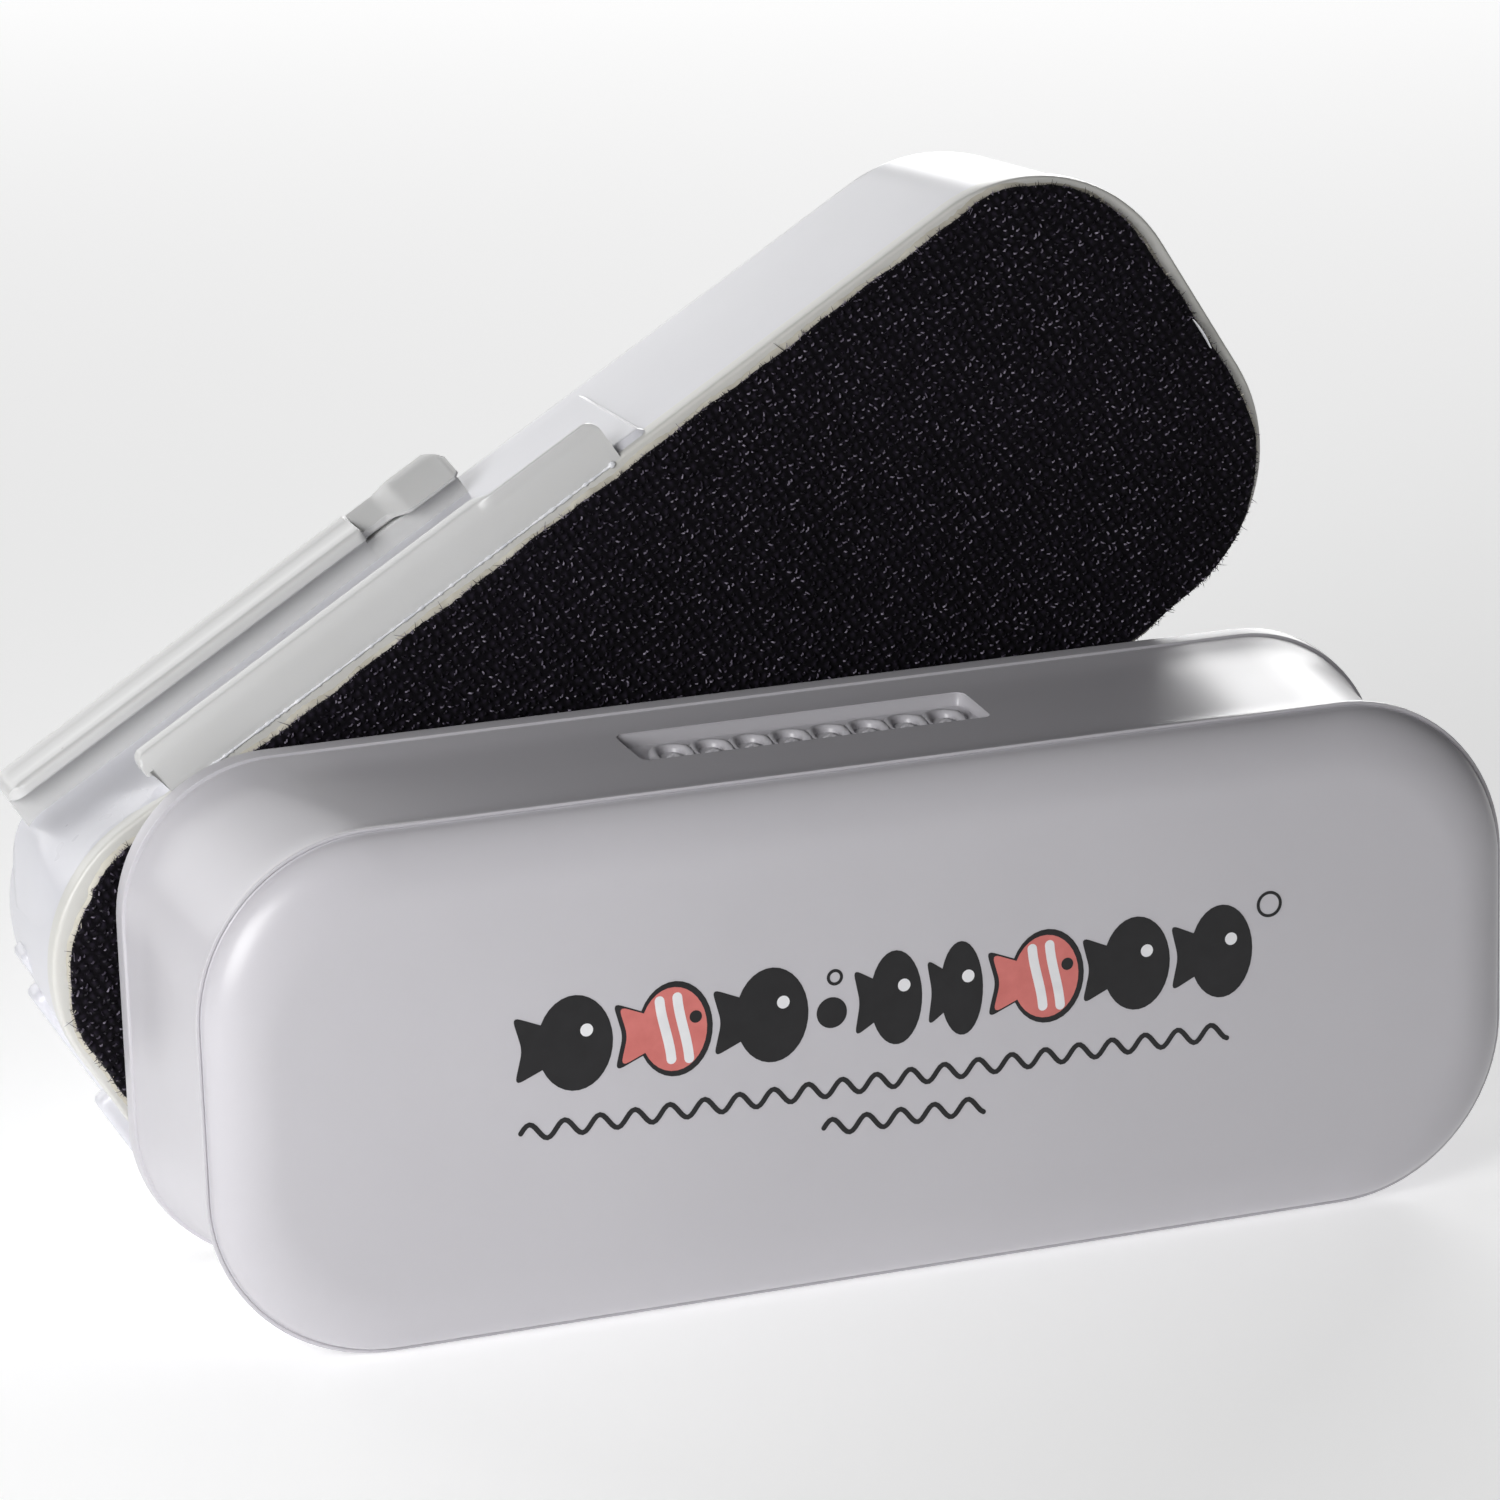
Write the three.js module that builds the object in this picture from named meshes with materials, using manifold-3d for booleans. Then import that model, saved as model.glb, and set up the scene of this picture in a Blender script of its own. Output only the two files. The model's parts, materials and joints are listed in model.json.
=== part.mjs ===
// Floating magnetic cleaner for aquarium glass: a dry outer half with a felt pad and a wet
// inner half with a scrubbing pad and a blade holder. Millimetres, +Z up, -Y is the handle side.
// The outer half stands on its long edge; the inner half clings to its back and is swivelled
// about the left-hand pair of magnets. The origin is the bottom centre of the whole object.
import * as THREE from 'three';
import { mergeVertices } from 'three/addons/utils/BufferGeometryUtils.js';
import Module from 'manifold-3d';

const wasm = await Module();
wasm.setup();

// ---- driving dimensions ----
const CORNER_STEPS = 8;            // facets in each rounded corner
const GAP = 0.3;                   // air between two mouldings that touch
const FILM_GAP = 0.1;              // air on each side of a thin bonded layer
const WALL = 1.8;                  // moulded wall thickness

const outer = { width: 130, height: 50.5, depth: 29.5, corner: 17, backCorner: 15 };
const BULGE = 3.5;                 // front cover's face ahead of its lip
const BULGE_EDGE = 6.5;            // width of the soft edge round that face
const BACK_WALL = 2;
const badge = { length: 35, width: 7.8, depth: 1, x: 0.6, y: 18.5 };

const inner = { width: 131.6, height: 48, depth: 27.4, corner: 16.3 };
const TAPER = 1.45;                // how far the inner walls lean in by the back
const BASE_PLATE = 2.2;

const magnet = { radius: 13, thick: 8, x: 46, drop: 2.75 };
const outerTray = { width: 122, height: 38, thick: magnet.thick, corner: 10 };
const innerTray = { width: 124, height: 36, thick: 4, corner: 10 };
const outerKeeper = { length: 116, width: 26, thick: 2 };
const innerKeeper = { length: 114, width: 24, thick: 1.2 };

const FILM = 0.2;                  // bonding film under either pad
const outerFilm = { inset: 3, corner: 12 };
const innerFilm = { inset: 3.4, corner: 12.5 };
const felt = { thick: 0.6, inset: 2.4, corner: 12.6 };
const scrub = { thick: 0.9, width: 128.4, height: 46.2, corner: 15, shift: -0.85 };

const SWIVEL = THREE.MathUtils.degToRad(31.3);   // right end up, from the lined-up position
const HALVES_APART = 2 * (FILM + 2 * FILM_GAP) + felt.thick + scrub.thick + GAP;

// ---- materials ----
function material(color, roughness, metalness = 0) {
  return new THREE.MeshStandardMaterial({ color, roughness, metalness });
}
const warmWhite = material('#d3d2d6', 0.38);
const coolWhite = material('#e4e4ea', 0.42);
const railWhite = material('#cfcfca', 0.45);
const blackHook = material('#101012', 0.95);
const greyFelt = material('#2d2e31', 0.98);
const film = material('#c9b98f', 0.6);
const ferrite = material('#2b2b2e', 0.55, 0.2);
const plated = material('#a9adb2', 0.3, 1);
const trayGrey = material('#8d9096', 0.5);

// ---- solids ----
function solidOf(geometry) {
  const bare = geometry.clone();
  bare.deleteAttribute('normal');
  bare.deleteAttribute('uv');
  const merged = mergeVertices(bare, 1e-4);
  return new wasm.Manifold(new wasm.Mesh({
    numProp: 3,
    vertProperties: new Float32Array(merged.attributes.position.array),
    triVerts: new Uint32Array(merged.index.array),
  }));
}

function geometryOf(solid) {
  const mesh = solid.getMesh();
  const geometry = new THREE.BufferGeometry();
  geometry.setAttribute('position', new THREE.BufferAttribute(mesh.vertProperties, 3));
  geometry.setIndex(new THREE.BufferAttribute(mesh.triVerts, 1));
  return geometry;
}

function part(name, solid, look) {
  const geometry = solid.isBufferGeometry ? solid : geometryOf(solid);
  const mesh = new THREE.Mesh(geometry, look);
  mesh.name = name;
  return mesh;
}

// A rounded rectangle in X and Z, counter-clockwise seen from -Y.
function roundedRing(width, height, corner) {
  const points = [];
  const x = width / 2 - corner;
  const z = height / 2 - corner;
  for (const [sx, sz, start] of [[1, 1, 0], [-1, 1, 90], [-1, -1, 180], [1, -1, 270]]) {
    for (let i = 0; i <= CORNER_STEPS; i++) {
      const a = THREE.MathUtils.degToRad(start + (90 * i) / CORNER_STEPS);
      points.push([sx * x + corner * Math.cos(a), sz * z + corner * Math.sin(a)]);
    }
  }
  return points;
}

// A body lofted through rounded rectangles. Each station is [inset, y, corner radius], in +Y order.
function loftedBody({ width, height }, stations) {
  const rings = stations.map(([inset, y, corner]) =>
    roundedRing(width - 2 * inset, height - 2 * inset, corner).map(([x, z]) => [x, y, z]));
  const count = rings[0].length;
  const faces = [];
  for (let r = 0; r + 1 < rings.length; r++) {
    for (let i = 0; i < count; i++) {
      const a = r * count + i;
      const b = r * count + (i + 1) % count;
      faces.push(a, a + count, b, b, a + count, b + count);
    }
  }
  const last = (rings.length - 1) * count;
  for (let i = 1; i + 1 < count; i++) {
    faces.push(0, i, i + 1, last, last + i + 1, last + i);
  }
  const geometry = new THREE.BufferGeometry();
  geometry.setAttribute('position', new THREE.Float32BufferAttribute(rings.flat(2), 3));
  geometry.setIndex(faces);
  return solidOf(geometry);
}

function shapeOf(points) {
  return new THREE.Shape(points.map(([x, y]) => new THREE.Vector2(x, y)));
}

// An outline in X and Z pushed through from y0 to y1.
function throughY(points, y0, y1, holes = []) {
  const shape = shapeOf(points);
  shape.holes = holes;
  const geometry = new THREE.ExtrudeGeometry(shape, { depth: y1 - y0, bevelEnabled: false });
  geometry.rotateX(Math.PI / 2);
  geometry.translate(0, y1, 0);
  return solidOf(geometry);
}

// An outline in Y and Z pushed along X from x0 to x1.
function alongX(points, x0, x1) {
  const geometry = new THREE.ExtrudeGeometry(shapeOf(points), { depth: x1 - x0, bevelEnabled: false });
  const turn = new THREE.Matrix4().makeBasis(
    new THREE.Vector3(0, 1, 0), new THREE.Vector3(0, 0, 1), new THREE.Vector3(1, 0, 0));
  geometry.applyMatrix4(turn);
  geometry.translate(x0, 0, 0);
  return solidOf(geometry);
}

// An outline in X and Y raised from z0 to z1.
function upZ(points, z0, z1) {
  const geometry = new THREE.ExtrudeGeometry(shapeOf(points), { depth: z1 - z0, bevelEnabled: false });
  geometry.translate(0, 0, z0);
  return solidOf(geometry);
}

function block(x0, x1, y0, y1, z0, z1) {
  return upZ([[x0, y0], [x1, y0], [x1, y1], [x0, y1]], z0, z1);
}

// ---- pieces that both halves have ----
function magnetDisc(name, x, yMiddle) {
  const geometry = new THREE.CylinderGeometry(magnet.radius, magnet.radius, magnet.thick, 32);
  geometry.translate(x, yMiddle, -magnet.drop);
  return part(name, geometry, ferrite);
}

function magnetTray(name, tray, y0) {
  const holes = [-magnet.x, magnet.x].map((x) =>
    new THREE.Path().absarc(x, -magnet.drop, magnet.radius + GAP, 0, 2 * Math.PI, true));
  const outline = roundedRing(tray.width, tray.height, tray.corner);
  return part(name, throughY(outline, y0, y0 + tray.thick, holes), trayGrey);
}

function keeperPlate(name, keeper, y0) {
  const reach = keeper.width / 2;
  const plate = block(-keeper.length / 2, keeper.length / 2, y0, y0 + keeper.thick,
    -magnet.drop - reach, -magnet.drop + reach);
  return part(name, plate, plated);
}

function flatSheet(name, size, { inset, corner }, y0, thick, look) {
  return part(name, loftedBody(size, [[inset, y0, corner], [inset, y0 + thick, corner]]), look);
}

// ---- outer half: y = 0 is the lip of the front cover, z = 0 its middle height ----
function frontCover() {
  const skin = [];
  const steps = 6;
  for (let i = steps; i >= 0; i--) {
    const a = (Math.PI / 2) * (i / steps);
    const inset = BULGE_EDGE * (1 - Math.cos(a));
    skin.push([inset, -BULGE * Math.sin(a), outer.corner - 0.6 * inset]);
  }
  skin.push([0.4, 1, outer.corner]);
  const hollow = [
    [9, -BULGE + BACK_WALL, 10],
    [3.3, 0, 14],
    [3.3, 2, 14],
  ];
  return loftedBody(outer, skin).subtract(loftedBody(outer, hollow));
}

const GROOVE = 1.7;                // finger groove behind the lip
const WALL_BACK = 1;               // wall inset at the back, inside the rim flange
const RIM_FLANGE = 0.7;

function outerCase() {
  const back = outer.depth;
  const skin = [
    [0.7, 1 + GAP, 17],
    [1.2, 2.6, 17],
    [1.6, 4.4, 17],
    [GROOVE, 7, 16.8],
    [WALL_BACK, back - RIM_FLANGE - 0.5, 15.1],
    [0, back - RIM_FLANGE, outer.backCorner],
    [0, back, outer.backCorner],
  ];
  const cavity = [
    [GROOVE + WALL, 0, 14],
    [GROOVE + WALL, back - BACK_WALL, 13],
  ];
  const top = outer.height / 2 - 1.35;
  const recess = block(
    badge.x - badge.length / 2, badge.x + badge.length / 2,
    badge.y - badge.width / 2, badge.y + badge.width / 2,
    top - badge.depth, top + 3);
  return loftedBody(outer, skin).subtract(loftedBody(outer, cavity)).subtract(recess);
}

function outerHalf() {
  const half = new THREE.Group();
  const back = outer.depth;
  const stackBack = back - BACK_WALL - GAP;
  const stackFront = stackBack - magnet.thick;
  const stackMiddle = (stackFront + stackBack) / 2;
  const filmFront = back + FILM_GAP;
  const feltFront = filmFront + FILM + FILM_GAP;
  half.add(part('outer_front_cover', frontCover(), warmWhite));
  half.add(part('outer_case', outerCase(), warmWhite));
  half.add(magnetTray('outer_magnet_tray', outerTray, stackFront));
  half.add(magnetDisc('outer_magnet_left', -magnet.x, stackMiddle));
  half.add(magnetDisc('outer_magnet_right', magnet.x, stackMiddle));
  half.add(keeperPlate('outer_keeper_plate', outerKeeper, stackFront - GAP - outerKeeper.thick));
  half.add(flatSheet('felt_bonding_film', outer, outerFilm, filmFront, FILM, film));
  half.add(flatSheet('felt_pad', outer, felt, feltFront, felt.thick, greyFelt));
  half.position.z = outer.height / 2;
  return half;
}

// ---- inner half: y = 0 is the plane of its rim, z = 0 its middle height ----
const CASE_FRONT = BASE_PLATE + GAP;

function innerCaseSkin(grow) {
  return loftedBody(inner, [
    [0.25 - grow, CASE_FRONT - grow, inner.corner],
    [TAPER - 0.1 - grow, inner.depth - 2.2, inner.corner],
    [TAPER + 0.5 - grow, inner.depth - 0.8 + grow / 2, inner.corner - 0.4],
    [TAPER + 2 - grow, inner.depth + grow, inner.corner - 1.6],
  ]);
}

function innerCase() {
  const cavity = loftedBody(inner, [
    [0.25 + WALL, CASE_FRONT - 1, inner.corner - WALL],
    [TAPER + WALL, inner.depth - BACK_WALL, inner.corner - WALL],
  ]);
  return innerCaseSkin(0).subtract(cavity);
}

function basePlate(grow) {
  return loftedBody(inner, [
    [0.25 - grow, -grow, inner.corner],
    [-grow, 0.25, inner.corner],
    [-grow, BASE_PLATE + grow, inner.corner],
  ]);
}

// Blade holder on the upper long side: two rails with a channel between them. The far rail has a
// lip over the channel, on a web that stands on the case and runs on, lower, under the latch finger.
// The near rail has a small overhang at its left end and grows thin past the middle.
const holder = {
  left: -56.1, railEnd: -13.4, baseLeft: -54, baseEnd: 12.6,
  nearLeft: -44.9, nearBody: -44.1, nearEnd: 9.5, overhang: 26.6, thinFrom: -4.6, thinTo: -2.7,
  railTop: 28.2, nearTop: 28.5, channelFloor: 24.1, bury: 18, seam: 24.2,
  baseFront: 1.2, nearBack: 3.3, nearThin: 1.3,
  lipFront: 15.5, lipUnder: 26.9, webFront: 17.8, back: 22.3,
};

// The latch finger is a springy tongue off the end of the far rail: a neck, then a wider head
// whose front slopes down to a thin edge.
const finger = { neckFront: 18, under: 25.9, neckEnd: 3.1, headStart: 5.1, length: 10.9 };

function nearRail() {
  const { nearTop, nearBack, nearThin, nearLeft, nearBody, nearEnd, bury, seam } = holder;
  const { overhang, thinFrom, thinTo } = holder;
  const section = alongX([
    [0, bury], [nearBack, bury], [nearBack, nearTop - 0.2], [nearBack - 0.3, nearTop],
    [1.6, nearTop - 0.1], [0.9, nearTop - 1.1], [0, seam],
  ], nearLeft, nearEnd);
  const side = throughY([
    [nearBody, bury], [nearEnd, bury], [nearEnd, seam], [nearEnd - 0.2, nearTop - 1.3],
    [nearEnd - 0.6, nearTop - 0.5], [nearEnd - 1.4, nearTop], [nearLeft + 1.3, nearTop],
    [nearLeft + 0.4, nearTop - 0.4], [nearLeft, nearTop - 1.2], [nearLeft, overhang],
    [nearBody, overhang],
  ], -1, nearBack + 1);
  const plan = upZ([
    [nearLeft, -1], [nearEnd, -1], [nearEnd, nearThin], [thinTo, nearThin], [thinFrom, nearBack],
    [nearLeft, nearBack],
  ], bury, nearTop + 1);
  return section.intersect(side).intersect(plan);
}

function farRail() {
  const { left, railEnd, railTop, lipFront, lipUnder, webFront, back, bury } = holder;
  const section = alongX([
    [lipFront, lipUnder], [webFront, lipUnder - 0.2], [webFront, bury], [back, bury],
    [back, railTop - 0.4], [back - 0.4, railTop], [lipFront + 0.8, railTop],
    [lipFront, railTop - 0.6],
  ], left, railEnd);
  const plan = upZ([
    [left, lipFront + 1.7], [left + 0.5, lipFront + 0.5], [left + 1.8, lipFront],
    [railEnd, lipFront], [railEnd, back], [left + 0.6, back], [left, back - 0.6],
  ], bury, railTop + 1);
  const side = throughY([
    [left, bury], [railEnd, bury], [railEnd, railTop - 0.5], [railEnd - 0.4, railTop + 0.1],
    [left + 1.1, railTop + 0.1], [left + 0.3, railTop - 0.4], [left, railTop - 1.1],
  ], 0, back + 1);
  const lowWeb = block(railEnd - 1, railEnd + GAP + finger.length, webFront, back, bury, finger.under - GAP);
  return section.intersect(plan).intersect(side).add(lowWeb);
}

function holderBase() {
  const { baseLeft, baseEnd, baseFront, nearBack, nearEnd, channelFloor, back, bury } = holder;
  const { nearThin, thinFrom, thinTo } = holder;
  const plan = upZ([
    [baseLeft, nearBack + GAP], [thinFrom + GAP, nearBack + GAP], [thinTo + GAP, nearThin + GAP],
    [nearEnd + GAP, nearThin + GAP], [nearEnd + GAP, baseFront],
    [baseEnd, baseFront], [baseEnd, back + 0.5], [baseLeft, back + 0.5],
  ], bury, channelFloor + 1);
  const slope = alongX([
    [0, bury], [back + 1, bury], [back + 1, channelFloor - 0.55], [3, channelFloor + 0.35],
    [0, channelFloor + 0.45],
  ], baseLeft - 1, baseEnd + 1);
  return plan.intersect(slope);
}

function latchFinger() {
  const { railEnd, railTop, lipFront, lipUnder, back } = holder;
  const { neckFront, under, neckEnd, headStart, length } = finger;
  const root = railEnd + GAP;
  const tip = root + length;
  const plan = upZ([
    [root, neckFront], [root + neckEnd, neckFront], [root + headStart, lipFront],
    [tip - 0.7, lipFront], [tip, lipFront + 1], [tip, neckFront], [tip - 1.1, neckFront + 2],
    [tip - 1.6, back], [root, back],
  ], under, railTop + 1);
  const section = alongX([
    [neckFront, under], [back, under], [back, railTop], [back - 0.4, railTop + 0.3],
    [neckFront + 1.5, railTop + 0.2], [lipFront, lipUnder], [lipFront, lipUnder - 0.4],
  ], root, tip);
  return plan.intersect(section);
}

// A lower pair of rails on the left end, for a short blade, and a stop above them.
const endRail = {
  near: { y: [0.6, 3.4], z: [-8, 3], proud: 1.4 },
  far: { y: [17, 21.5], z: [-8, 9], proud: 0.1 },
  stop: { y: [17, 21.5], z: [10.2, 13.2], proud: -1.3 },
  reach: 12,
};

function endBlock({ y: [y0, y1], z: [z0, z1], proud }) {
  const x = -inner.width / 2 - proud;
  const root = x + endRail.reach;
  const outline = [[x + 0.5, y0], [root, y0], [root, y1], [x + 0.5, y1], [x, y1 - 0.5], [x, y0 + 0.5]];
  return upZ(outline, z0, z1);
}

function innerHalf() {
  const half = new THREE.Group();
  const stackFront = CASE_FRONT;
  const stackBack = stackFront + magnet.thick;
  const stackMiddle = (stackFront + stackBack) / 2;
  const filmFront = -FILM_GAP - FILM;
  const body = innerCaseSkin(GAP).add(basePlate(GAP));
  const base = holderBase();
  const baseRoom = base.add(base.translate(0, 0, GAP));
  const onTheBody = (solid) => solid.subtract(body);
  half.add(part('inner_base_plate', basePlate(0), coolWhite));
  half.add(part('inner_case', innerCase(), coolWhite));
  half.add(magnetTray('inner_magnet_tray', innerTray, stackFront));
  half.add(magnetDisc('inner_magnet_left', -magnet.x, stackMiddle));
  half.add(magnetDisc('inner_magnet_right', magnet.x, stackMiddle));
  half.add(keeperPlate('inner_keeper_plate', innerKeeper, stackBack + GAP));
  half.add(flatSheet('scrub_bonding_film', inner, innerFilm, filmFront, FILM, film));
  const pad = flatSheet('scrub_pad', scrub, { inset: 0, corner: scrub.corner },
    filmFront - FILM_GAP - scrub.thick, scrub.thick, blackHook);
  pad.position.z = scrub.shift;
  half.add(pad);
  half.add(part('holder_base', onTheBody(base), coolWhite));
  half.add(part('near_rail', onTheBody(nearRail()), railWhite));
  half.add(part('far_rail', onTheBody(farRail()).subtract(baseRoom), railWhite));
  half.add(part('latch_finger', latchFinger(), railWhite));
  half.add(part('end_rail_near', onTheBody(endBlock(endRail.near)), railWhite));
  half.add(part('end_rail_far', onTheBody(endBlock(endRail.far)), railWhite));
  half.add(part('end_stop', onTheBody(endBlock(endRail.stop)), railWhite));
  return half;
}

// ---- assembly ----
const assembly = new THREE.Group();
assembly.add(outerHalf());

// The swivel turns about the left magnets; at zero the two halves line up.
const swivel = new THREE.Group();
swivel.position.set(-magnet.x, outer.depth + HALVES_APART, outer.height / 2 - magnet.drop);
swivel.rotation.y = -SWIVEL;
const wet = innerHalf();
wet.position.set(magnet.x, 0, magnet.drop);
swivel.add(wet);
assembly.add(swivel);

assembly.updateMatrixWorld(true);
const box = new THREE.Box3().setFromObject(assembly, true);
const centre = box.getCenter(new THREE.Vector3());
assembly.position.set(-centre.x, -centre.y, -box.min.z);
assembly.updateMatrixWorld(true);

export default assembly;
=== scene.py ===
"""Looks for the floating magnetic glass cleaner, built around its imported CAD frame.

Lengths below are in millimetres in the axes of one half, and turn into metres in the frame's axes
when a mesh is made. In either half x runs along it, y goes back from its lip or rim, z goes up.
"""
import json
import math
import random

import bmesh
import bpy
import numpy as np
from mathutils import Matrix, Vector


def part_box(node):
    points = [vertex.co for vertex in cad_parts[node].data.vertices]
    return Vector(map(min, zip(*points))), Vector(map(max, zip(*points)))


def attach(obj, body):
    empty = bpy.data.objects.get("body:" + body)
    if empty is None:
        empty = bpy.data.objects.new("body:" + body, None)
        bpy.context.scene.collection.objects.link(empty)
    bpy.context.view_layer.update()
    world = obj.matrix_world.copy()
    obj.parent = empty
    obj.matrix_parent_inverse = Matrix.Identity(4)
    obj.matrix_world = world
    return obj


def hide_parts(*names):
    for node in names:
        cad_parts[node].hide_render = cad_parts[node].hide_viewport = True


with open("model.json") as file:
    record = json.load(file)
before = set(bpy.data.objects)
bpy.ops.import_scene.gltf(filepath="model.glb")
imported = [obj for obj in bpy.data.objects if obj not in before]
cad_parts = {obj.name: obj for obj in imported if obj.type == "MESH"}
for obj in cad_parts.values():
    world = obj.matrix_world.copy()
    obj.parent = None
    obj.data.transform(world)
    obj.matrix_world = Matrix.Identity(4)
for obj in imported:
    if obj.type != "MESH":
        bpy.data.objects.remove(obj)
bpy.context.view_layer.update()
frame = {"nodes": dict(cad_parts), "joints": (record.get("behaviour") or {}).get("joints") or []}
MM = 0.001
COVER_BACK = 1.0                  # how far the front cover reaches behind its lip plane
random.seed(7)


# ---- the two halves' own axes, worked out from the frame ----
def middle(node):
    low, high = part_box(node)
    return (low + high) / 2


def half_axes():
    """The matrices from each half's millimetres to the frame's metres, and the inner half's tilt."""
    centre = middle("outer_front_cover")
    lip = COVER_HIGH.y - COVER_BACK * MM
    outer = Matrix.Translation((centre.x, lip, centre.z)) @ Matrix.Scale(MM, 4)
    swivel = next(j for j in frame["joints"] if j["name"] == "swivel")
    pivot = Vector(swivel["pos_m"])
    lean = -math.radians(swivel["range_deg"][0])
    reach = (middle("outer_magnet_right").x - middle("outer_magnet_left").x) / 2
    drop = centre.z - middle("outer_magnet_left").z
    turn = Matrix.Rotation(-lean, 4, "Y")
    inner = Matrix.Translation(pivot) @ turn @ Matrix.Translation((reach, 0, drop)) @ Matrix.Scale(MM, 4)
    return outer, inner, lean


COVER_LOW, COVER_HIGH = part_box("outer_front_cover")
OUTER_AXES, INNER_AXES, LEAN = half_axes()
AXES = {"outer_half": OUTER_AXES, "inner_half": INNER_AXES, "latch": INNER_AXES}
OUTER_W = (COVER_HIGH.x - COVER_LOW.x) / MM
OUTER_H = (COVER_HIGH.z - COVER_LOW.z) / MM
OUTER_D = (OUTER_AXES.inverted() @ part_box("outer_case")[1]).y
BULGE = -(OUTER_AXES.inverted() @ COVER_LOW).y


def inner_box(node):
    """A CAD node's box in the inner half's millimetres."""
    back = INNER_AXES.inverted()
    points = [back @ v.co for v in frame["nodes"][node].data.vertices]
    return (Vector([min(p[i] for p in points) for i in range(3)]),
            Vector([max(p[i] for p in points) for i in range(3)]))


PLATE_LOW, PLATE_HIGH = inner_box("inner_base_plate")
INNER_W = PLATE_HIGH.x - PLATE_LOW.x
INNER_H = PLATE_HIGH.z - PLATE_LOW.z
INNER_D = inner_box("inner_case")[1].y


# ---- mesh building ----
def placed(name, solid, axes, sharp):
    """Turns a solid's millimetre points and faces into an object in the frame's metres."""
    points, faces = solid
    mesh = bpy.data.meshes.new(name)
    mesh.from_pydata([tuple(p) for p in points], [], faces)
    mesh.transform(axes)
    piece = bpy.data.objects.new(name, mesh)
    bpy.context.scene.collection.objects.link(piece)
    finish_surface(piece, sharp)
    return piece


def make(name, solid, material, body, replaces=(), sharp=35):
    """Turns a solid into a piece of one material that rides on a body."""
    piece = placed(name, solid, AXES[body], sharp)
    piece.data.materials.append(material)
    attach(piece, body)
    if replaces:
        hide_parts(*replaces)
    return piece


def finish_surface(piece, sharp):
    """Outward faces, smooth but for edges sharper than the given angle."""
    shell = bmesh.new()
    shell.from_mesh(piece.data)
    bmesh.ops.remove_doubles(shell, verts=shell.verts, dist=1e-7)
    bmesh.ops.recalc_face_normals(shell, faces=shell.faces)
    shell.to_mesh(piece.data)
    shell.free()
    piece.data.shade_smooth()
    piece.data.set_sharp_from_angle(angle=math.radians(sharp))


def rounded_path(keys, steps=5):
    """A polyline of points, any number of values each, with the last value as a fillet radius.

    The first two values are the place that the radius is measured in."""
    out = []
    for i, key in enumerate(keys):
        here = np.array(key[:-1], float)
        radius = key[-1]
        if radius == 0 or i in (0, len(keys) - 1):
            out.append(here)
            continue
        before = np.array(keys[i - 1][:-1], float)
        after = np.array(keys[i + 1][:-1], float)
        cut_in = min(0.48, radius / np.linalg.norm((before - here)[:2]))
        cut_out = min(0.48, radius / np.linalg.norm((after - here)[:2]))
        a = here + (before - here) * cut_in
        b = here + (after - here) * cut_out
        for k in range(steps + 1):
            t = k / steps
            out.append((1 - t) ** 2 * a + 2 * t * (1 - t) * here + t * t * b)
    return out


def rounded_loop(keys, steps=5):
    """A closed rounded outline through keys like those of rounded_path."""
    return rounded_path([keys[-1], *keys, keys[0]], steps)[1:-1]


def rounded_ring(width, height, corner, steps=22):
    """A rounded rectangle round the origin, as (x, z) points."""
    x = width / 2 - corner
    z = height / 2 - corner
    ring = []
    for sx, sz, start in ((1, 1, 0), (-1, 1, 90), (-1, -1, 180), (1, -1, 270)):
        for i in range(steps + 1):
            a = math.radians(start + 90 * i / steps)
            ring.append((sx * x + corner * math.cos(a), sz * z + corner * math.sin(a)))
    return ring


def skin(rings, closed=False):
    """Faces over a stack of equal rings, capped at both ends unless it closes on itself."""
    count = len(rings[0])
    points = [p for ring in rings for p in ring]
    faces = []
    total = len(rings)
    for r in range(total if closed else total - 1):
        low = r * count
        high = (r + 1) % total * count
        for i in range(count):
            j = (i + 1) % count
            faces.append((low + i, low + j, high + j, high + i))
    if not closed:
        faces.append(tuple(range(count - 1, -1, -1)))
        faces.append(tuple(range((total - 1) * count, total * count)))
    return points, faces


def shell_of(width, height, profile):
    """A body swept round a rounded rectangle. profile is [inset, y, corner radius] stations."""
    rings = []
    for inset, y, corner in profile:
        ring = rounded_ring(width - 2 * inset, height - 2 * inset, corner)
        rings.append([(x, y, z) for x, z in ring])
    return skin(rings)


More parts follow.
